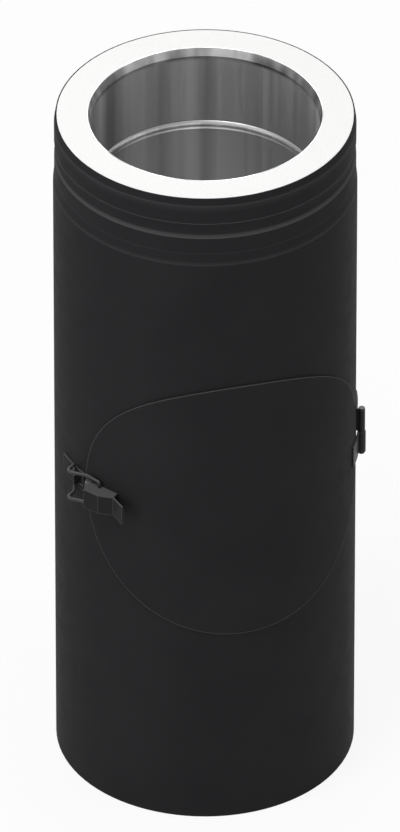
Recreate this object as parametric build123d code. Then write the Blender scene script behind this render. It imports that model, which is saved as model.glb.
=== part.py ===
from build123d import *
import math
import os

# Insulated flue length with a soot door. Millimetres, +Z up, the pipe axis on Z,
# the bottom rim on Z = 0 and the middle of the door facing -Y.

# Flue length
LENGTH = 500.0
CASE_RADIUS = 100.0
CASE_SHEET = 0.7
WALL_DEPTH = 25.5
LINER_SHEET = 0.5

# Outer spigot at the top, depths measured down from the top edge
SPIGOT_FIT = 0.15
SPIGOT_DEPTH = 43.0
SHOULDER_DEPTH = 8.5
LEAD_IN_DEPTH = 5.5
LEAD_IN = 0.95
GROOVE_TOP = 19.3
GROOVE_WIDTH = 11.3
GROOVE_INSET = 1.0

# Liner socket at the top and liner spigot at the bottom
SOCKET_FIT = 0.3
SOCKET_DEPTH = 57.0
MOUTH_FLARE = 1.6
MOUTH_DEPTH = 5.7
STOP_BEAD_DEPTH = 6.0
STOP_BEAD_INSET = 0.9
LINER_END_RISE = 2.5

# Insulation and the ring that carries it
SEAT_GAP = 0.05
FIBRE_GAP = 0.1
BOTTOM_SOCKET_DEPTH = 49.2
END_RING_SHEET = 0.8
END_RING_COLLAR = 12.0

# Oval door, half sizes along the casing's arc and in height
DOOR_HALF_WIDTH = 115.0
DOOR_HALF_HEIGHT = 100.0
DOOR_HEIGHT_ON_PIPE = 250.5
DOOR_GAP = 0.3
DOOR_SHEET = 1.1
DOOR_LAP = 14.0
OVAL_STEPS = 6

# Throat through the insulation and the plug that closes it
THROAT_SHEET = 0.6
PLUG_CLEARANCE = 4.0
COVER_SHEET = 0.8
LEDGE_WIDTH = 8.0
GASKET_THICKNESS = 3.65
GASKET_WIDTH = 7.0
GASKET_INSET = 0.6

# Hinge, its axis placed along the casing from the door's right edge
HINGE_REACH = 6.0
HINGE_STAND_OFF = 4.2
HINGE_MIDDLE_RISE = 2.0
HINGE_SHEET = 1.2
HINGE_PIN_RADIUS = 1.3
HINGE_FIT = 0.06
HINGE_PIN_HEAD_RADIUS = 2.1
HINGE_PIN_HEAD = 1.0
CASE_KNUCKLE_RADIUS = 2.3
CASE_KNUCKLE_HEIGHT = 17.5
CASE_LEAF_LENGTH = 21.0
DOOR_KNUCKLE_RADIUS = 2.8
DOOR_KNUCKLE_HEIGHT = 16.0
DOOR_LEAF_LENGTH = 19.0
KNUCKLE_GAP = 0.4

# Latch lever, a folded channel that turns on a pin across two ears. Its points rise from
# the casing and lie along it, measured from the door's left edge onto the door
LATCH_HEIGHT_ON_PIPE = 247.0
LEVER_SHEET = 1.2
LEVER_WIDTH = 14.0
LEVER_GAP = 0.5
HEEL_RISE = 12.6
HEEL_ALONG = 9.9
BEND_RISE = 11.6
BEND_ALONG = 20.4
NOSE_RISE = 7.4
NOSE_ALONG = 29.0
TIP_RISE = 13.4
TIP_ALONG = 38.7
FLANGE_END_RISE = 3.4
FLANGE_END_ALONG = 28.6
LATCH_PIN_RISE = 4.9
LATCH_PIN_ALONG = 6.3
LATCH_PIN_RADIUS = 1.2
LATCH_PIN_HEAD_RADIUS = 2.0
LATCH_PIN_HEAD = 0.9
LATCH_FIT = 0.06

# Bracket that carries the lever
BASE_SHEET = 1.0
BASE_START = 1.2
BASE_END = 19.4
EAR_RADIUS = 2.6
EAR_GAP = 0.3

# Wire claw and the keeper lip that it pulls on, placed as the lever is
WIRE_RADIUS = 1.1
CLAW_WIDTH = 21.6
CLAW_LEG_RISE = 3.9
CLAW_PIVOT_ALONG = 15.3
CLAW_FOOT_ALONG = 4.6
ARCH_RISE = 11.6
ARCH_ALONG = -7.2
BAR_ALONG = -10.7
CLAW_BEND = 3.0
CLAW_CORNER = 2.0
CLAW_END_BEND = 1.6
CLAW_PULL_GAP = 0.5
CLAW_BAR_GAP = 0.35
KEEPER_SHEET = 1.2
KEEPER_WIDTH = 14.0
KEEPER_START = -29.2
KEEPER_END = -3.0
LIP_WIDTH = 8.0
LIP_HEIGHT = 4.0

# Worked out from the sizes above
CASE_INSIDE = CASE_RADIUS - CASE_SHEET
BORE_RADIUS = CASE_RADIUS - WALL_DEPTH
SPIGOT_RADIUS = CASE_INSIDE - SPIGOT_FIT
LINER_RADIUS = BORE_RADIUS + LINER_SHEET
SOCKET_RADIUS = LINER_RADIUS + SOCKET_FIT
STOP_BOTTOM = SOCKET_DEPTH + STOP_BEAD_DEPTH
SKIN_INSIDE = CASE_RADIUS + DOOR_GAP
SKIN_OUTSIDE = SKIN_INSIDE + DOOR_SHEET
OPENING_HALF_WIDTH = DOOR_HALF_WIDTH - DOOR_LAP
OPENING_HALF_HEIGHT = DOOR_HALF_HEIGHT - DOOR_LAP
PLUG_HALF_WIDTH = OPENING_HALF_WIDTH - PLUG_CLEARANCE
PLUG_HALF_HEIGHT = OPENING_HALF_HEIGHT - PLUG_CLEARANCE
GASKET_INSIDE = LINER_RADIUS + DOOR_GAP
COVER_RADIUS = GASKET_INSIDE + GASKET_THICKNESS + SEAT_GAP
HINGE_RADIUS = CASE_RADIUS + HINGE_STAND_OFF
HINGE_MIDDLE = DOOR_HEIGHT_ON_PIPE + HINGE_MIDDLE_RISE
LEVER_FOOT_RADIUS = SKIN_OUTSIDE + LEVER_GAP
EAR_OUTSIDE = LEVER_WIDTH / 2 - LEVER_SHEET - EAR_GAP
KEEPER_INSIDE = CASE_RADIUS + SEAT_GAP
KEEPER_OUTSIDE = KEEPER_INSIDE + KEEPER_SHEET
CLAW_BAR_RISE = KEEPER_OUTSIDE + CLAW_BAR_GAP + WIRE_RADIUS - CASE_RADIUS


def at(place):
    """Plan point of a (radius, angle) pair, the angle in degrees from -Y towards +X."""
    radius, angle = place
    turn = math.radians(angle)
    return (radius * math.sin(turn), -radius * math.cos(turn))


def degrees_of(arc, radius):
    """Angle in degrees that an arc length covers at a radius."""
    return math.degrees(arc / radius)


def door_angle(along):
    """Angle of a place on the casing, an arc length from the door's left edge onto the door."""
    return degrees_of(along - DOOR_HALF_WIDTH, CASE_RADIUS)


def latch_place(rise, along):
    """The (radius, angle) pair of a latch point."""
    return (CASE_RADIUS + rise, door_angle(along))


def slab(face, low, high):
    """A plan face raised to a solid between two heights."""
    return extrude(Pos(0, 0, low) * face, high - low)


def arc_at(radius, start, end):
    """Plan arc about the pipe axis between two angles."""
    middle = (start + end) / 2
    return ThreePointArc(at((radius, start)), at((radius, middle)), at((radius, end)))


def sector(inside, outside, start, end):
    """Plan face of a curved strip between two radii and two angles."""
    outer = arc_at(outside, start, end)
    inner = arc_at(inside, end, start)
    return make_face([outer, Line(outer @ 1, inner @ 0), inner, Line(inner @ 1, outer @ 0)])


def ring(inside, outside, low, high):
    """Plain ring about the pipe axis."""
    return slab(Circle(outside) - Circle(inside), low, high)


def turned(edges):
    """Solid of revolution about the pipe axis from a section in radius and height."""
    return revolve(Plane.XZ * make_face(edges), Axis.Z)


def oval(half_width, half_height):
    """Oval cutter with walls that point at the pipe axis, flat size taken on the casing."""
    swing = half_width / CASE_RADIUS

    def place(depth, turn):
        across = depth * math.tan(swing * math.cos(turn))
        return (across, -depth, DOOR_HEIGHT_ON_PIPE + half_height * math.sin(turn))

    def heading(depth, turn):
        across = -depth * swing * math.sin(turn) / math.cos(swing * math.cos(turn)) ** 2
        return (across, 0, half_height * math.cos(turn))

    def quarter(depth, start):
        turns = [start + math.pi / 2 * i / OVAL_STEPS for i in range(OVAL_STEPS + 1)]
        return Edge.make_spline(
            [place(depth, turn) for turn in turns],
            tangents=[heading(depth, turns[0]), heading(depth, turns[-1])],
            parameters=turns,
            scale=False,
        )

    def outline(depth):
        return Wire([quarter(depth, math.pi / 2 * i) for i in range(4)])

    near, far = CASE_RADIUS / 4, CASE_RADIUS * 5 / 4
    return Solid.make_loft([outline(near), outline(far)], ruled=True)


def inset_oval(inset):
    """The oval of the plug, drawn in by an amount on every side."""
    return oval(PLUG_HALF_WIDTH - inset, PLUG_HALF_HEIGHT - inset)


def casing_line(shift):
    """Casing section from the top edge to the bottom rim, moved inwards by shift."""
    spigot = SPIGOT_RADIUS - shift
    body = CASE_RADIUS - shift
    groove_middle = LENGTH - GROOVE_TOP - GROOVE_WIDTH / 2
    groove_low = LENGTH - GROOVE_TOP - GROOVE_WIDTH
    shoulder_low = LENGTH - SPIGOT_DEPTH - SHOULDER_DEPTH
    lead_in = Line((spigot - LEAD_IN, LENGTH), (spigot, LENGTH - LEAD_IN_DEPTH))
    upper = Line(lead_in @ 1, (spigot, LENGTH - GROOVE_TOP))
    groove = ThreePointArc(upper @ 1, (spigot - GROOVE_INSET, groove_middle), (spigot, groove_low))
    rest = Polyline(groove @ 1, (spigot, LENGTH - SPIGOT_DEPTH), (body, shoulder_low), (body, 0))
    return [lead_in, upper, groove, rest]


def outer_casing():
    outside = casing_line(0)
    inside = casing_line(CASE_SHEET)
    top = Line(outside[0] @ 0, inside[0] @ 0)
    bottom = Line(outside[-1] @ 1, inside[-1] @ 1)
    tube = turned(outside + [bottom] + inside + [top])
    return tube - oval(OPENING_HALF_WIDTH, OPENING_HALF_HEIGHT)


def liner_line(shift):
    """Liner section from the mouth to the bottom spigot, moved outwards by shift."""
    socket = SOCKET_RADIUS + shift
    bore = BORE_RADIUS + shift
    bead_middle = LENGTH - SOCKET_DEPTH - STOP_BEAD_DEPTH / 2
    mouth = Polyline(
        (socket + MOUTH_FLARE, LENGTH),
        (socket, LENGTH - MOUTH_DEPTH),
        (socket, LENGTH - SOCKET_DEPTH),
    )
    bead = ThreePointArc(
        mouth @ 1, (bore - STOP_BEAD_INSET, bead_middle), (bore, LENGTH - STOP_BOTTOM)
    )
    return [mouth, bead, Line(bead @ 1, (bore, LINER_END_RISE))]


def inner_liner():
    inside = liner_line(0)
    outside = liner_line(LINER_SHEET)
    top = Line(inside[0] @ 0, outside[0] @ 0)
    bottom = Line(inside[-1] @ 1, outside[-1] @ 1)
    tube = turned(inside + [bottom] + outside + [top])
    ledge_arc = LEDGE_WIDTH * CASE_RADIUS / LINER_RADIUS
    hole = oval(OPENING_HALF_WIDTH - ledge_arc, OPENING_HALF_HEIGHT - LEDGE_WIDTH)
    return tube - hole


def end_ring():
    """Flat ring under the insulation with a collar round the liner."""
    top = BOTTOM_SOCKET_DEPTH + END_RING_SHEET
    inside = LINER_RADIUS + SEAT_GAP
    flat = ring(inside, CASE_INSIDE - SEAT_GAP, BOTTOM_SOCKET_DEPTH, top)
    return flat + ring(inside, inside + END_RING_SHEET, top, top + END_RING_COLLAR)


def insulation():
    """Fibre between casing and liner, stepped past the end ring's collar and the socket."""
    low = BOTTOM_SOCKET_DEPTH + END_RING_SHEET + SEAT_GAP
    collar = LINER_RADIUS + SEAT_GAP + END_RING_SHEET + FIBRE_GAP
    collar_top = low + END_RING_COLLAR + FIBRE_GAP
    liner = LINER_RADIUS + FIBRE_GAP
    socket = SOCKET_RADIUS + LINER_SHEET + FIBRE_GAP
    shoulder_low = LENGTH - SPIGOT_DEPTH - SHOULDER_DEPTH
    body = CASE_INSIDE - FIBRE_GAP
    spigot = SPIGOT_RADIUS - max(GROOVE_INSET, LEAD_IN) - CASE_SHEET - FIBRE_GAP
    section = Polyline(
        (collar, low),
        (body, low),
        (body, shoulder_low - FIBRE_GAP),
        (spigot, shoulder_low - FIBRE_GAP),
        (spigot, LENGTH),
        (socket + MOUTH_FLARE, LENGTH),
        (socket, LENGTH - MOUTH_DEPTH),
        (socket, LENGTH - STOP_BOTTOM - FIBRE_GAP),
        (liner, LENGTH - STOP_BOTTOM - FIBRE_GAP),
        (liner, collar_top),
        (collar, collar_top),
        close=True,
    )
    throat = THROAT_SHEET + FIBRE_GAP
    return turned(section) - oval(OPENING_HALF_WIDTH + throat, OPENING_HALF_HEIGHT + throat)


def oval_sheet(shape, inside, outside):
    """Curved oval plate between two radii about the pipe axis."""
    low = DOOR_HEIGHT_ON_PIPE - DOOR_HALF_HEIGHT - DOOR_LAP
    high = DOOR_HEIGHT_ON_PIPE + DOOR_HALF_HEIGHT + DOOR_LAP
    return ring(inside, outside, low, high) & shape


def oval_wall(outer, inner, inside, outside):
    """Sleeve between two ovals, cut to two radii about the pipe axis."""
    return oval_sheet(outer, inside, outside) - inner


def door_throat():
    outer = oval(OPENING_HALF_WIDTH + THROAT_SHEET, OPENING_HALF_HEIGHT + THROAT_SHEET)
    inner = oval(OPENING_HALF_WIDTH, OPENING_HALF_HEIGHT)
    return oval_wall(outer, inner, LINER_RADIUS + SEAT_GAP, CASE_INSIDE - SEAT_GAP)


def door_skin():
    return oval_sheet(oval(DOOR_HALF_WIDTH, DOOR_HALF_HEIGHT), SKIN_INSIDE, SKIN_OUTSIDE)


def door_cover():
    """Pan behind the skin: a curved floor and a wall all round."""
    floor = oval_sheet(inset_oval(0), COVER_RADIUS, COVER_RADIUS + COVER_SHEET)
    wall_foot = COVER_RADIUS + COVER_SHEET / 2
    wall = oval_wall(inset_oval(0), inset_oval(COVER_SHEET), wall_foot, SKIN_INSIDE - SEAT_GAP)
    return floor + wall


def door_insulation():
    fill = inset_oval(COVER_SHEET + FIBRE_GAP)
    return oval_sheet(fill, COVER_RADIUS + COVER_SHEET + SEAT_GAP, SKIN_INSIDE - SEAT_GAP)


def door_gasket():
    outer = inset_oval(GASKET_INSET)
    inner = inset_oval(GASKET_INSET + GASKET_WIDTH)
    return oval_wall(outer, inner, GASKET_INSIDE, GASKET_INSIDE + GASKET_THICKNESS)


def hinge_place():
    """The (radius, angle) pair of the hinge axis."""
    return (HINGE_RADIUS, degrees_of(DOOR_HALF_WIDTH + HINGE_REACH, CASE_RADIUS))


def round_at(place, radius):
    """Plan circle about a (radius, angle) place."""
    return Pos(*at(place)) * Circle(radius)


def hinge_casing_leaf():
    axis = hinge_place()
    angle = axis[1]
    low = HINGE_MIDDLE
    high = low + CASE_KNUCKLE_HEIGHT
    seat = CASE_RADIUS + SEAT_GAP
    leaf_end = angle + degrees_of(CASE_LEAF_LENGTH, CASE_RADIUS)
    neck_half = degrees_of(HINGE_SHEET, HINGE_RADIUS) / 2
    leaf = sector(seat, seat + HINGE_SHEET, angle - neck_half, leaf_end)
    neck = sector(seat, HINGE_RADIUS, angle - neck_half, angle + neck_half)
    plan = leaf + neck + round_at(axis, CASE_KNUCKLE_RADIUS)
    return slab(plan - round_at(axis, HINGE_PIN_RADIUS + HINGE_FIT), low, high)


def hinge_door_leaf():
    axis = hinge_place()
    angle = axis[1]
    high = HINGE_MIDDLE - KNUCKLE_GAP
    low = high - DOOR_KNUCKLE_HEIGHT
    seat = SKIN_OUTSIDE + SEAT_GAP
    leaf_end = angle - degrees_of(DOOR_LEAF_LENGTH, CASE_RADIUS)
    leaf = sector(seat, seat + HINGE_SHEET, leaf_end, angle)
    plan = leaf + round_at(axis, DOOR_KNUCKLE_RADIUS)
    return slab(plan - round_at(axis, HINGE_PIN_RADIUS + HINGE_FIT), low, high)


def hinge_pin():
    """Pin with a foot under the door's knuckle and a head on the casing's knuckle."""
    axis = hinge_place()
    foot_top = HINGE_MIDDLE - KNUCKLE_GAP - DOOR_KNUCKLE_HEIGHT - KNUCKLE_GAP
    head_low = HINGE_MIDDLE + CASE_KNUCKLE_HEIGHT + SEAT_GAP
    shank = slab(round_at(axis, HINGE_PIN_RADIUS), foot_top - HINGE_PIN_HEAD, head_low + HINGE_PIN_HEAD)
    foot = slab(round_at(axis, HINGE_PIN_HEAD_RADIUS), foot_top - HINGE_PIN_HEAD, foot_top)
    head = slab(round_at(axis, HINGE_PIN_HEAD_RADIUS), head_low, head_low + HINGE_PIN_HEAD)
    return shank + foot + head


LATCH_PIN_AT = latch_place(LATCH_PIN_RISE, LATCH_PIN_ALONG)
LEVER_HEEL = latch_place(HEEL_RISE, HEEL_ALONG)
LEVER_BEND = latch_place(BEND_RISE, BEND_ALONG)
LEVER_NOSE = latch_place(NOSE_RISE, NOSE_ALONG)
LEVER_TIP = latch_place(TIP_RISE, TIP_ALONG)
LEVER_FLANGE_END = latch_place(FLANGE_END_RISE, FLANGE_END_ALONG)
CLAW_PIVOT = latch_place(CLAW_LEG_RISE, CLAW_PIVOT_ALONG)
CLAW_FOOT = latch_place(CLAW_LEG_RISE, CLAW_FOOT_ALONG)
CLAW_ARCH = latch_place(ARCH_RISE, ARCH_ALONG)
CLAW_BAR = latch_place(CLAW_BAR_RISE, BAR_ALONG)


def latch_slab(face, low, high):
    """A plan face raised between two heights measured from the middle of the latch."""
    return slab(face, LATCH_HEIGHT_ON_PIPE + low, LATCH_HEIGHT_ON_PIPE + high)


def both_sides(face, inner, outer):
    """The same plan face above and below the middle of the latch."""
    return latch_slab(face, inner, outer) + latch_slab(face, -outer, -inner)


def latch_base():
    seat = SKIN_OUTSIDE + SEAT_GAP
    floor = sector(seat, seat + BASE_SHEET, door_angle(BASE_START), door_angle(BASE_END))
    plate = latch_slab(floor, -EAR_OUTSIDE, EAR_OUTSIDE)
    pin_radius, pin_angle = LATCH_PIN_AT
    half_ear = degrees_of(EAR_RADIUS, pin_radius)
    post = sector(seat, pin_radius, pin_angle - half_ear, pin_angle + half_ear)
    ear = post + round_at(LATCH_PIN_AT, EAR_RADIUS)
    ears = both_sides(ear, EAR_OUTSIDE - BASE_SHEET, EAR_OUTSIDE)
    hole = latch_slab(round_at(LATCH_PIN_AT, LATCH_PIN_RADIUS + LATCH_FIT), -LEVER_WIDTH, LEVER_WIDTH)
    return plate + ears - hole


def latch_pin():
    head_low = LEVER_WIDTH / 2 + SEAT_GAP
    shank = latch_slab(round_at(LATCH_PIN_AT, LATCH_PIN_RADIUS), -head_low, head_low)
    heads = both_sides(round_at(LATCH_PIN_AT, LATCH_PIN_HEAD_RADIUS), head_low, head_low + LATCH_PIN_HEAD)
    return shank + heads


def lever_flange():
    """Plan of one channel side: rounded about the pin, its foot close to the door."""
    pin_radius, pin_angle = LATCH_PIN_AT
    heel_round = pin_radius - LEVER_FOOT_RADIUS
    pin = Vector(*at(LATCH_PIN_AT))
    outwards = Vector(*at((1, pin_angle)))
    backwards = outwards.rotate(Axis.Z, -90)
    diagonal = (backwards - outwards).normalized()
    foot = arc_at(LEVER_FOOT_RADIUS, LEVER_FLANGE_END[1], pin_angle)
    heel = ThreePointArc(foot @ 1, pin + diagonal * heel_round, pin + backwards * heel_round)
    rest = Polyline(
        heel @ 1, at(LEVER_HEEL), at(LEVER_BEND), at(LEVER_NOSE), at(LEVER_FLANGE_END), foot @ 0
    )
    return make_face([foot, heel, rest])


def latch_lever():
    half = LEVER_WIDTH / 2
    spine = Polyline(at(LEVER_HEEL), at(LEVER_BEND), at(LEVER_NOSE), at(LEVER_TIP))
    web = latch_slab(trace(spine, LEVER_SHEET), -half, half)
    flanges = both_sides(lever_flange(), half - LEVER_SHEET, half)
    pin_hole = round_at(LATCH_PIN_AT, LATCH_PIN_RADIUS + LATCH_FIT)
    claw_hole = round_at(CLAW_PIVOT, WIRE_RADIUS + LATCH_FIT)
    return web + flanges - latch_slab(pin_hole, -half, half) - latch_slab(claw_hole, -half, half)


def latch_claw():
    """Closed wire: ends turned into the lever, an arch each side, a bar behind the lip."""
    half = CLAW_WIDTH / 2
    end = LEVER_WIDTH / 2 - LEVER_SHEET - WIRE_RADIUS / 2
    plan = [at(CLAW_PIVOT), at(CLAW_FOOT), at(CLAW_ARCH), at(CLAW_BAR)]
    upper = [(*at(CLAW_PIVOT), end)] + [(*point, half) for point in plan]
    lower = [(x, y, -z) for x, y, z in reversed(upper)]
    bends = [CLAW_END_BEND, CLAW_BEND, CLAW_BEND, CLAW_CORNER]
    path = FilletPolyline(*upper, *lower, radius=bends + bends[::-1])
    wire = sweep(Plane(path @ 0, z_dir=path % 0) * Circle(WIRE_RADIUS), path=path)
    return Pos(0, 0, LATCH_HEIGHT_ON_PIPE) * wire


def latch_keeper():
    """Strip on the casing with a lip cut from it and folded up."""
    strip = sector(KEEPER_INSIDE, KEEPER_OUTSIDE, door_angle(KEEPER_START), door_angle(KEEPER_END))
    plate = latch_slab(strip, -KEEPER_WIDTH / 2, KEEPER_WIDTH / 2)
    bar_reach = WIRE_RADIUS + CLAW_PULL_GAP
    lip_start = CLAW_BAR[1] + degrees_of(bar_reach, CLAW_BAR[0])
    lip_end = lip_start + degrees_of(KEEPER_SHEET, CLAW_BAR[0])
    lip = sector(KEEPER_INSIDE, KEEPER_OUTSIDE + LIP_HEIGHT, lip_start, lip_end)
    window_end = lip_end + degrees_of(LIP_HEIGHT, CLAW_BAR[0])
    window = sector(KEEPER_INSIDE - SEAT_GAP, KEEPER_OUTSIDE + SEAT_GAP, lip_end, window_end)
    opened = plate - latch_slab(window, -LIP_WIDTH / 2, LIP_WIDTH / 2)
    return opened + latch_slab(lip, -LIP_WIDTH / 2, LIP_WIDTH / 2)


PARTS = {
    "outer_casing": outer_casing,
    "inner_liner": inner_liner,
    "insulation": insulation,
    "lower_end_ring": end_ring,
    "door_throat": door_throat,
    "hinge_casing_leaf": hinge_casing_leaf,
    "hinge_pin": hinge_pin,
    "latch_keeper": latch_keeper,
    "door_skin": door_skin,
    "door_cover": door_cover,
    "door_insulation": door_insulation,
    "door_gasket": door_gasket,
    "hinge_door_leaf": hinge_door_leaf,
    "latch_base": latch_base,
    "latch_pin": latch_pin,
    "latch_lever": latch_lever,
    "latch_claw": latch_claw,
}

os.makedirs("parts", exist_ok=True)
for name, make in PARTS.items():
    export_step(make(), f"parts/{name}.step")
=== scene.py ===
"""Looks of the insulated stove pipe with its soot door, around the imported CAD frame."""
import math

import bpy
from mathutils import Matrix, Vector


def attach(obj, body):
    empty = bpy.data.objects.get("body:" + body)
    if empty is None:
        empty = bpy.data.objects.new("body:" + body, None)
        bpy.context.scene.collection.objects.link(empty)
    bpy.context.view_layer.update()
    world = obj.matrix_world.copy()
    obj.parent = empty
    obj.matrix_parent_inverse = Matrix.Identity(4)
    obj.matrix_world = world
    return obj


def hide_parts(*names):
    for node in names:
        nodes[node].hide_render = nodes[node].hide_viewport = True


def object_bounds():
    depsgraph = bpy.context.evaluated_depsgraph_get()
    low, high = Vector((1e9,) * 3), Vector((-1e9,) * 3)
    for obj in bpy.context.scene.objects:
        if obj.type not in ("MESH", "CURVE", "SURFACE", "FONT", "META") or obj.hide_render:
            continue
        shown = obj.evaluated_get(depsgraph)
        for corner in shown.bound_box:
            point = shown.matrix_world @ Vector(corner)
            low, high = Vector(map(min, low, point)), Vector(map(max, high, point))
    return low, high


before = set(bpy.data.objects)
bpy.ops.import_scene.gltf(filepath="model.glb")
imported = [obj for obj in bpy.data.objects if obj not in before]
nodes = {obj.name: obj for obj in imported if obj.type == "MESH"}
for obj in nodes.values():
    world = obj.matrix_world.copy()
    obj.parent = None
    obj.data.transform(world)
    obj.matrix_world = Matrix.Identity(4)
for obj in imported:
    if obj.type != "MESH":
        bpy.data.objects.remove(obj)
cad_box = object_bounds()

# The photograph's view: an almost parallel projection, angles in degrees, lengths in metres
AZIMUTH = -15.0
ELEVATION = 35.5
CAMERA_DISTANCE = 11.5
FRAME_HEIGHT = 0.5516
AIM_LEFT = 0.0034
AIM_HEIGHT = 0.2568
SENSOR = 36.0

PIPE_TOP = cad_box[1].z
BEVEL_SAMPLES = 6

# Sizes of the grain in each finish, as noise scales per metre
PAINT_CLOUD = 24.0
PAINT_POLISH = 90.0
PAINT_GRAIN = 1800.0
STEEL_STREAK = (36.0, 36.0, 0.5)
STEEL_POLISH = (160.0, 160.0, 2.0)
STEEL_GRAIN = (2500.0, 2500.0, 60.0)
FLARE_STREAK = (48.0, 48.0, 0.5)
FIBRE_MAT = (900.0, 900.0, 2600.0)
ROPE_YARN = 1400.0

# Depth of the relief in each finish, in metres
PAINT_RELIEF = 0.00002
STEEL_RELIEF = 0.000006
FIBRE_RELIEF = 0.0002
ROPE_RELIEF = 0.0003

# Painted light from above lies on faces whose upward share of the normal is over the first, and fully over the
# second
PAINTED_LIGHT_FROM = 0.5
PAINTED_LIGHT_FULL = 0.95


class Shader:
    """A Principled material and short calls for the nodes that feed it."""

    def __init__(self, name, sockets):
        self.material = bpy.data.materials.new(name)
        self.material.use_nodes = True
        self.nodes = self.material.node_tree.nodes
        self.links = self.material.node_tree.links
        self.surface = self.nodes["Principled BSDF"]
        for socket, value in sockets.items():
            self.surface.inputs[socket].default_value = value
        self.place = self.nodes.new("ShaderNodeTexCoord").outputs["Object"]

    def join(self, output, socket):
        self.links.new(output, socket)

    def stretched(self, scale):
        """Object coordinates, in metres, times a scale on each axis."""
        mapping = self.nodes.new("ShaderNodeMapping")
        mapping.inputs["Scale"].default_value = scale
        self.join(self.place, mapping.inputs["Vector"])
        return mapping.outputs["Vector"]

    def noise(self, scale, detail=3.0, roughness=0.5):
        """Noise with a scale per metre on each axis."""
        texture = self.nodes.new("ShaderNodeTexNoise")
        texture.inputs["Scale"].default_value = 1.0
        texture.inputs["Detail"].default_value = detail
        texture.inputs["Roughness"].default_value = roughness
        self.join(self.stretched(scale), texture.inputs["Vector"])
        return texture.outputs["Fac"]

    def ramp(self, value, stops):
        """Colours or greys at positions along a value."""
        ramp = self.nodes.new("ShaderNodeValToRGB")
        elements = ramp.color_ramp.elements
        while len(elements) < len(stops):
            elements.new(1.0)
        for element, (position, colour) in zip(elements, stops):
            element.position = position
            element.color = (*(colour if isinstance(colour, tuple) else even(colour)), 1.0)
        self.join(value, ramp.inputs["Fac"])
        return ramp.outputs["Color"]

    def paint(self, socket, value, stops):
        self.join(self.ramp(value, stops), self.surface.inputs[socket])

    def rounded(self, radius):
        """Surface normal with its edges rounded by a radius."""
        bevel = self.nodes.new("ShaderNodeBevel")
        bevel.samples = BEVEL_SAMPLES
        bevel.inputs["Radius"].default_value = radius
        return bevel.outputs["Normal"]

    def edges(self, radius, turn):
        """Mask of the edges: 0 on a flat face, 1 where rounding turns the normal by an angle in degrees."""
        dot = self.nodes.new("ShaderNodeVectorMath")
        dot.operation = "DOT_PRODUCT"
        self.join(self.rounded(radius), dot.inputs[0])
        self.join(self.nodes.new("ShaderNodeNewGeometry").outputs["Normal"], dot.inputs[1])
        mask = self.nodes.new("ShaderNodeMapRange")
        mask.inputs["From Min"].default_value = 1.0
        mask.inputs["From Max"].default_value = math.cos(math.radians(turn))
        self.join(dot.outputs["Value"], mask.inputs["Value"])
        return mask.outputs["Result"]

    def height_band(self, low, peak, high):
        """Mask along Z in metres: 0 at low, 1 at peak and 0 again at high."""
        split = self.nodes.new("ShaderNodeSeparateXYZ")
        self.join(self.place, split.inputs[0])
        slopes = []
        for foot in (low, high):
            slope = self.nodes.new("ShaderNodeMapRange")
            slope.interpolation_type = "SMOOTHSTEP"
            slope.inputs["From Min"].default_value = foot
            slope.inputs["From Max"].default_value = peak
            self.join(split.outputs["Z"], slope.inputs["Value"])
            slopes.append(slope.outputs["Result"])
        return self.math("MULTIPLY", *slopes)

    def math(self, operation, first, second):
        node = self.nodes.new("ShaderNodeMath")
        node.operation = operation
        for socket, value in zip(node.inputs, (first, second)):
            if isinstance(value, float):
                socket.default_value = value
            else:
                self.join(value, socket)
        return node.outputs[0]

    def upward_faces(self):
        """Mask of the faces that look up, which are painted lighter as light from above."""
        split = self.nodes.new("ShaderNodeSeparateXYZ")
        self.join(self.nodes.new("ShaderNodeNewGeometry").outputs["Normal"], split.inputs[0])
        mask = self.nodes.new("ShaderNodeMapRange")
        mask.inputs["From Min"].default_value = PAINTED_LIGHT_FROM
        mask.inputs["From Max"].default_value = PAINTED_LIGHT_FULL
        self.join(split.outputs["Z"], mask.inputs["Value"])
        return mask.outputs["Result"]

    def blend(self, mask, base, over):
        """Colour base where the mask is 0 and colour over where it is 1."""
        mix = self.nodes.new("ShaderNodeMix")
        mix.data_type = "RGBA"
        self.join(mask, mix.inputs["Factor"])
        self.join(base, mix.inputs["A"])
        if isinstance(over, tuple):
            mix.inputs["B"].default_value = (*over, 1.0)
        else:
            self.join(over, mix.inputs["B"])
        return mix.outputs["Result"]

    def bump(self, height, distance, rounding=0.0):
        """Relief of a depth in metres, over edges that look rounded by a radius."""
        bump = self.nodes.new("ShaderNodeBump")
        bump.inputs["Strength"].default_value = 1.0
        bump.inputs["Distance"].default_value = distance
        self.join(height, bump.inputs["Height"])
        if rounding:
            self.join(self.rounded(rounding), bump.inputs["Normal"])
        self.join(bump.outputs["Normal"], self.surface.inputs["Normal"])


def even(value):
    return (value, value, value)


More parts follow.
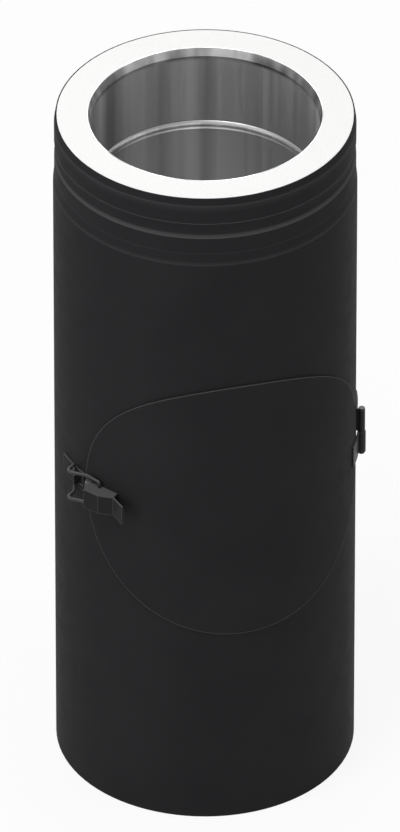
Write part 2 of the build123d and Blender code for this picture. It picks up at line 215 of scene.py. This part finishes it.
def black_paint(name, dark, light, worn_and_highlit, smooth, rough, rounding, specular, bands=(), painted_top_light=None, unmarked_edges=None):
    """Stove paint: a soft cloud in the colour, a fine grain, edges lighter as worn paint and painted highlight,
    and bands of painted highlight.
    """
    shader = Shader(name, {"Specular IOR Level": specular})
    cloud = shader.ramp(shader.noise(even(PAINT_CLOUD), detail=5.0), [(0.35, dark), (0.65, light)])
    # Edges are lighter: partly worn paint, partly painted highlight
    mask = shader.edges(rounding, WORN_AND_HIGHLIT_TURN)
    # A band of heights can keep its edges dark, without the lighter edges
    if unmarked_edges:
        mask = shader.math("MULTIPLY", mask, shader.math("SUBTRACT", 1.0, shader.height_band(*unmarked_edges)))
    # Bands of heights get painted highlight
    for share, low, peak, high in bands:
        band = shader.math("MULTIPLY", shader.height_band(low, peak, high), share)
        mask = shader.math("MAXIMUM", mask, band)
    colour = shader.blend(mask, cloud, worn_and_highlit)
    # Faces that look up are painted lighter, as light from above
    if painted_top_light:
        colour = shader.blend(shader.upward_faces(), colour, painted_top_light)
    shader.join(colour, shader.surface.inputs["Base Color"])
    shader.paint("Roughness", shader.noise(even(PAINT_POLISH), detail=4.0), [(0.3, smooth), (0.7, rough)])
    shader.bump(shader.noise(even(PAINT_GRAIN), detail=2.0), PAINT_RELIEF, rounding=rounding)
    return shader.material


def stainless(name, dark, light, smooth, rough, painted_light_lean=0.0, flare=None, painted_shade=None):
    """Mill-finish sheet: long streaks along Z in colour and polish.

    A painted light slope makes it lighter towards +X, by a share per metre. A flare is a band of heights with
    its own streaks, and a painted shade is a band of heights that is darker.
    """
    shader = Shader(name, {"Metallic": 1.0, "Anisotropic": 0.4})
    streak = shader.noise(STEEL_STREAK, detail=3.0)
    # Painted light: the steel is lighter towards +X
    if painted_light_lean:
        split = shader.nodes.new("ShaderNodeSeparateXYZ")
        shader.join(shader.place, split.inputs[0])
        streak = shader.math("ADD", streak, shader.math("MULTIPLY", split.outputs["X"], painted_light_lean))
    colour = shader.ramp(streak, [(0.34, dark), (0.60, light)])
    if flare:
        rolled = shader.noise(FLARE_STREAK, detail=2.0)
        rolled = shader.ramp(rolled, [(0.38, FLARE_DARK), (0.62, FLARE_LIGHT)])
        colour = shader.blend(shader.height_band(*flare), colour, rolled)
    # Painted shade: the upper side of the stop bead is darker
    if painted_shade:
        colour = shader.blend(shader.height_band(*painted_shade), colour, PAINTED_SHADE_GREY)
    shader.join(colour, shader.surface.inputs["Base Color"])
    shader.paint("Roughness", shader.noise(STEEL_POLISH, detail=4.0), [(0.3, smooth), (0.7, rough)])
    shader.bump(shader.noise(STEEL_GRAIN, detail=2.0), STEEL_RELIEF)
    return shader.material


def fibre(name, low, high):
    """Pressed white fibre: matted strands with soft hollows."""
    shader = Shader(name, {"Roughness": 0.95, "Specular IOR Level": 0.1})
    mat = shader.noise(FIBRE_MAT, detail=6.0, roughness=0.65)
    shader.paint("Base Color", mat, [(0.3, low), (0.6, high)])
    shader.bump(mat, FIBRE_RELIEF)
    return shader.material


def rope(name, low, high):
    """Glass yarn of the seal rope."""
    shader = Shader(name, {"Roughness": 0.9, "Specular IOR Level": 0.2})
    yarn = shader.noise(even(ROPE_YARN), detail=3.0)
    shader.paint("Base Color", yarn, [(0.3, low), (0.7, high)])
    shader.bump(yarn, ROPE_RELIEF)
    return shader.material


# Paint is lighter, as worn paint and painted highlight, where an edge turns by this angle in degrees; the
# collar's rolled groove, lead-in and shoulder get bands of painted highlight: the share of it, and the heights
# in metres where it starts, is fullest and ends
WORN_AND_HIGHLIT_TURN = 5.0
COLLAR_HIGHLIGHT = [
    (0.42, 0.4683, 0.4703, 0.4728),
    (0.12, 0.4890, 0.4945, 0.4960),
    (0.14, 0.4470, 0.4486, 0.4515),
]
# Grey of the painted light from above on faces that look up
PAINTED_TOP_GREY = even(0.09)

# Heights in metres over which the casing's top rim keeps dark edges, with neither worn paint nor painted
# highlight
RIM = (0.4960, 0.4970, PIPE_TOP + 0.05)

# The liner's flared mouth, as heights in metres, and the greys of its streaks
FLARE = (PIPE_TOP - 0.0095, PIPE_TOP - 0.006, PIPE_TOP + 0.02)
FLARE_DARK = 0.16
FLARE_LIGHT = 0.72

# The upper side of the liner's stop bead, as heights in metres, and the grey of the painted shade laid on it
BEAD_TOP = (0.4402, 0.4427, 0.4440)
PAINTED_SHADE_GREY = even(0.25)

casing_paint = black_paint(
    "casing_paint",
    dark=(0.0180, 0.0180, 0.0194),
    light=(0.0200, 0.0200, 0.0214),
    worn_and_highlit=(0.10, 0.10, 0.102),
    smooth=0.56,
    rough=0.66,
    rounding=0.0005,
    specular=0.02,
    bands=COLLAR_HIGHLIGHT,
    unmarked_edges=RIM,
)
fitting_paint = black_paint(
    "fitting_paint",
    dark=(0.0165, 0.0165, 0.0177),
    light=(0.0190, 0.0190, 0.0202),
    worn_and_highlit=(0.11, 0.11, 0.112),
    smooth=0.52,
    rough=0.62,
    rounding=0.0003,
    specular=0.03,
    painted_top_light=PAINTED_TOP_GREY,
)
hinge_paint = black_paint(
    "hinge_paint",
    dark=(0.0180, 0.0180, 0.0192),
    light=(0.0210, 0.0210, 0.0222),
    worn_and_highlit=(0.11, 0.11, 0.112),
    smooth=0.34,
    rough=0.44,
    rounding=0.0003,
    specular=0.1,
    painted_top_light=PAINTED_TOP_GREY,
)
coated_wire = black_paint(
    "coated_wire",
    dark=(0.02, 0.02, 0.021),
    light=(0.03, 0.03, 0.031),
    worn_and_highlit=(0.06, 0.06, 0.062),
    smooth=0.26,
    rough=0.38,
    rounding=0.0002,
    specular=0.2,
    painted_top_light=PAINTED_TOP_GREY,
)
liner_steel = stainless(
    "liner_steel", dark=0.48, light=0.98, smooth=0.3, rough=0.44, painted_light_lean=2.2, flare=FLARE, painted_shade=BEAD_TOP
)
pin_steel = stainless("pin_steel", dark=0.55, light=0.8, smooth=0.3, rough=0.4)
sheet_steel = stainless("sheet_steel", dark=0.5, light=0.66, smooth=0.28, rough=0.42)
white_fibre = fibre("white_fibre", low=(0.84, 0.84, 0.83), high=(0.93, 0.93, 0.925))
seal_rope = rope("seal_rope", low=(0.42, 0.41, 0.38), high=(0.66, 0.65, 0.61))

FINISHES = {
    casing_paint: ["outer_casing", "door_skin"],
    fitting_paint: ["latch_keeper", "latch_base", "latch_lever"],
    hinge_paint: ["hinge_casing_leaf", "hinge_door_leaf"],
    coated_wire: ["hinge_pin", "latch_claw"],
    pin_steel: ["latch_pin"],
    liner_steel: ["inner_liner"],
    sheet_steel: ["lower_end_ring", "door_throat", "door_cover"],
    white_fibre: ["insulation", "door_insulation"],
    seal_rope: ["door_gasket"],
}
for finish, names in FINISHES.items():
    for node in names:
        for material_slot in nodes[node].material_slots:
            material_slot.material = finish

# The seal rope, in metres: three strands plaited within the strip that the CAD has for it
STRIP_HALF_WIDTH = 0.0035
CASE_RADIUS = 0.1
STRANDS = 3
STRAND_RADIUS = 0.00084
PLAIT_SWAY = 0.0018
PLAIT_LIFT = 0.00097
PLAIT_PITCH = 0.008
STEPS_PER_PITCH = 14
STRAND_SIDES = 8
OVAL_STEPS = 720


def seal_line():
    """Places along the middle of the seal strip, with the way out of the pipe at each."""
    strip = nodes["door_gasket"]
    corners = [strip.matrix_world @ vertex.co for vertex in strip.data.vertices]
    depths = [math.hypot(corner.x, corner.y) for corner in corners]
    heights = [corner.z for corner in corners]
    depth = (min(depths) + max(depths)) / 2
    swing = max(math.atan2(corner.x, -corner.y) for corner in corners)
    swing -= STRIP_HALF_WIDTH / CASE_RADIUS
    middle = (min(heights) + max(heights)) / 2
    rise = (max(heights) - min(heights)) / 2 - STRIP_HALF_WIDTH
    line = []
    for step in range(OVAL_STEPS + 1):
        turn = math.tau * step / OVAL_STEPS
        angle = swing * math.cos(turn)
        out = Vector((math.sin(angle), -math.cos(angle), 0.0))
        line.append((out * depth + Vector((0.0, 0.0, middle + rise * math.sin(turn))), out))
    return line


def evenly(line, count):
    """The same closed line at places an equal length apart."""
    lengths = [0.0]
    for (before, _), (after, _) in zip(line, line[1:]):
        lengths.append(lengths[-1] + (after - before).length)
    places = []
    piece = 0
    for step in range(count):
        length = lengths[-1] * step / count
        while lengths[piece + 1] < length:
            piece += 1
        share = (length - lengths[piece]) / (lengths[piece + 1] - lengths[piece])
        places.append(tuple(a.lerp(b, share) for a, b in zip(line[piece], line[piece + 1])))
    return places


def seal_plait():
    """Three plaited strands of glass rope along the seal strip that they stand for."""
    line = seal_line()
    around = sum((after - before).length for (before, _), (after, _) in zip(line, line[1:]))
    pitches = round(around / PLAIT_PITCH)
    count = pitches * STEPS_PER_PITCH
    places = evenly(line, count)
    vertices, faces = [], []
    for strand in range(STRANDS):
        middles = []
        for step, (place, out) in enumerate(places):
            ahead = places[(step + 1) % count][0] - places[step - 1][0]
            phase = math.tau * (step / STEPS_PER_PITCH + strand / STRANDS)
            side = ahead.cross(out).normalized()
            sway = side * PLAIT_SWAY * math.sin(phase)
            middles.append((place + sway + out * PLAIT_LIFT * math.sin(2 * phase), out))
        first = len(vertices)
        for step, (place, out) in enumerate(middles):
            ahead = (middles[(step + 1) % count][0] - middles[step - 1][0]).normalized()
            side = ahead.cross(out).normalized()
            top = side.cross(ahead)
            for corner in range(STRAND_SIDES):
                turn = math.tau * corner / STRAND_SIDES
                vertices.append(place + (side * math.cos(turn) + top * math.sin(turn)) * STRAND_RADIUS)
        for step in range(count):
            here = first + step * STRAND_SIDES
            there = first + (step + 1) % count * STRAND_SIDES
            for corner in range(STRAND_SIDES):
                after = (corner + 1) % STRAND_SIDES
                faces.append((here + corner, here + after, there + after, there + corner))
    mesh = bpy.data.meshes.new("seal_plait")
    mesh.from_pydata(vertices, [], faces)
    mesh.polygons.foreach_set("use_smooth", [True] * len(faces))
    mesh.materials.append(seal_rope)
    plait = bpy.data.objects.new("seal_plait", mesh)
    bpy.context.scene.collection.objects.link(plait)
    return plait


plait = seal_plait()
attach(plait, "door")
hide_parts("door_gasket")


def plainly_seen(tree):
    """1 for rays from the camera, by way of a reflection or through glass, and 0 for the rest."""
    path = tree.nodes.new("ShaderNodeLightPath")
    seen = path.outputs["Is Camera Ray"]
    for ray in ("Is Glossy Ray", "Is Transmission Ray"):
        either = tree.nodes.new("ShaderNodeMath")
        either.operation = "MAXIMUM"
        tree.links.new(seen, either.inputs[0])
        tree.links.new(path.outputs[ray], either.inputs[1])
        seen = either.outputs[0]
    return seen


# The floor takes shadow up to the first distance in metres, and none beyond the second
SHADOW_NEAR = 0.6
SHADOW_FAR = 2.0


def lit_white(name, shadow_share):
    """White that the camera and reflections see as white, apart from a share that takes shadow."""
    material = bpy.data.materials.new(name)
    material.use_nodes = True
    tree = material.node_tree
    tree.nodes.clear()
    diffuse = tree.nodes.new("ShaderNodeBsdfDiffuse")
    diffuse.inputs["Color"].default_value = (0.9, 0.9, 0.9, 1.0)
    glow = tree.nodes.new("ShaderNodeEmission")
    share = tree.nodes.new("ShaderNodeMath")
    share.operation = "MULTIPLY"
    reach = tree.nodes.new("ShaderNodeVectorMath")
    reach.operation = "LENGTH"
    fade = tree.nodes.new("ShaderNodeMapRange")
    fade.interpolation_type = "SMOOTHSTEP"
    fade.inputs["From Min"].default_value = SHADOW_NEAR
    fade.inputs["From Max"].default_value = SHADOW_FAR
    fade.inputs["To Min"].default_value = 1.0 - shadow_share
    fade.inputs["To Max"].default_value = 1.0
    tree.links.new(tree.nodes.new("ShaderNodeTexCoord").outputs["Object"], reach.inputs[0])
    tree.links.new(reach.outputs["Value"], fade.inputs["Value"])
    tree.links.new(fade.outputs["Result"], share.inputs[1])
    mix = tree.nodes.new("ShaderNodeMixShader")
    output = tree.nodes.new("ShaderNodeOutputMaterial")
    tree.links.new(plainly_seen(tree), share.inputs[0])
    tree.links.new(share.outputs[0], mix.inputs["Fac"])
    tree.links.new(diffuse.outputs[0], mix.inputs[1])
    tree.links.new(glow.outputs[0], mix.inputs[2])
    tree.links.new(mix.outputs[0], output.inputs["Surface"])
    return material


FLOOR_HALF = 40.0
FLOOR_GAP = 0.0001
floor_mesh = bpy.data.meshes.new("floor")
floor_signs = [(-1, -1), (1, -1), (1, 1), (-1, 1)]
floor_mesh.from_pydata(
    [(x * FLOOR_HALF, y * FLOOR_HALF, cad_box[0].z - FLOOR_GAP) for x, y in floor_signs], [], [(0, 1, 2, 3)]
)
floor = bpy.data.objects.new("floor", floor_mesh)
floor_mesh.materials.append(lit_white("floor_white", shadow_share=0.12))
bpy.context.scene.collection.objects.link(floor)


def sky(strength):
    """Even white light; the camera and reflections see it as plain white."""
    world = bpy.data.worlds.new("studio")
    world.use_nodes = True
    tree = world.node_tree
    background = tree.nodes["Background"]
    background.inputs["Color"].default_value = (1.0, 1.0, 1.0, 1.0)
    level = tree.nodes.new("ShaderNodeMapRange")
    level.inputs["To Min"].default_value = strength
    level.inputs["To Max"].default_value = 1.0
    tree.links.new(plainly_seen(tree), level.inputs["Value"])
    tree.links.new(level.outputs["Result"], background.inputs["Strength"])
    bpy.context.scene.world = world


sky(strength=0.35)


MIDDLE = Vector((0.0, 0.0, PIPE_TOP / 2))


def softbox(name, where, size, power):
    """A lamp that looks at the middle of the pipe; places and sizes in metres, power in watts."""
    lamp = bpy.data.lights.new(name, "AREA")
    lamp.shape = "RECTANGLE"
    lamp.size, lamp.size_y = size
    lamp.energy = power
    lamp_object = bpy.data.objects.new(name, lamp)
    lamp_object.location = where
    lamp_object.rotation_euler = (MIDDLE - Vector(where)).to_track_quat("-Z", "Y").to_euler()
    lamp_object.visible_camera = False
    bpy.context.scene.collection.objects.link(lamp_object)


softbox("top_light", where=(-0.8, -0.5, 2.5), size=(1.0, 1.0), power=25.0)
softbox("left_light", where=(-2.3, -0.8, 1.0), size=(1.4, 1.8), power=19.0)
softbox("right_light", where=(2.3, -0.9, 1.0), size=(1.4, 1.8), power=18.0)
softbox("front_light", where=(-0.7, -2.7, 1.4), size=(1.6, 1.6), power=4.0)
softbox("back_light", where=(0.65, 2.4, 2.1), size=(1.6, 1.0), power=24.0)


def photo_camera():
    azimuth, elevation = math.radians(AZIMUTH), math.radians(ELEVATION)
    across = Vector((math.cos(azimuth), math.sin(azimuth), 0.0))
    level = Vector((math.sin(azimuth), -math.cos(azimuth), 0.0))
    back = level * math.cos(elevation) + Vector((0.0, 0.0, math.sin(elevation)))
    aim = Vector((0.0, 0.0, AIM_HEIGHT)) - across * AIM_LEFT
    camera = bpy.data.cameras.new("photo_camera")
    camera.sensor_width = SENSOR
    camera.lens = SENSOR * CAMERA_DISTANCE / FRAME_HEIGHT
    camera.clip_end = 3 * CAMERA_DISTANCE
    camera_object = bpy.data.objects.new("photo_camera", camera)
    camera_object.location = aim + back * CAMERA_DISTANCE
    camera_object.rotation_euler = back.to_track_quat("Z", "Y").to_euler()
    bpy.context.scene.collection.objects.link(camera_object)
    bpy.context.scene.camera = camera_object


photo_camera()
bpy.context.scene.view_settings.view_transform = "Standard"
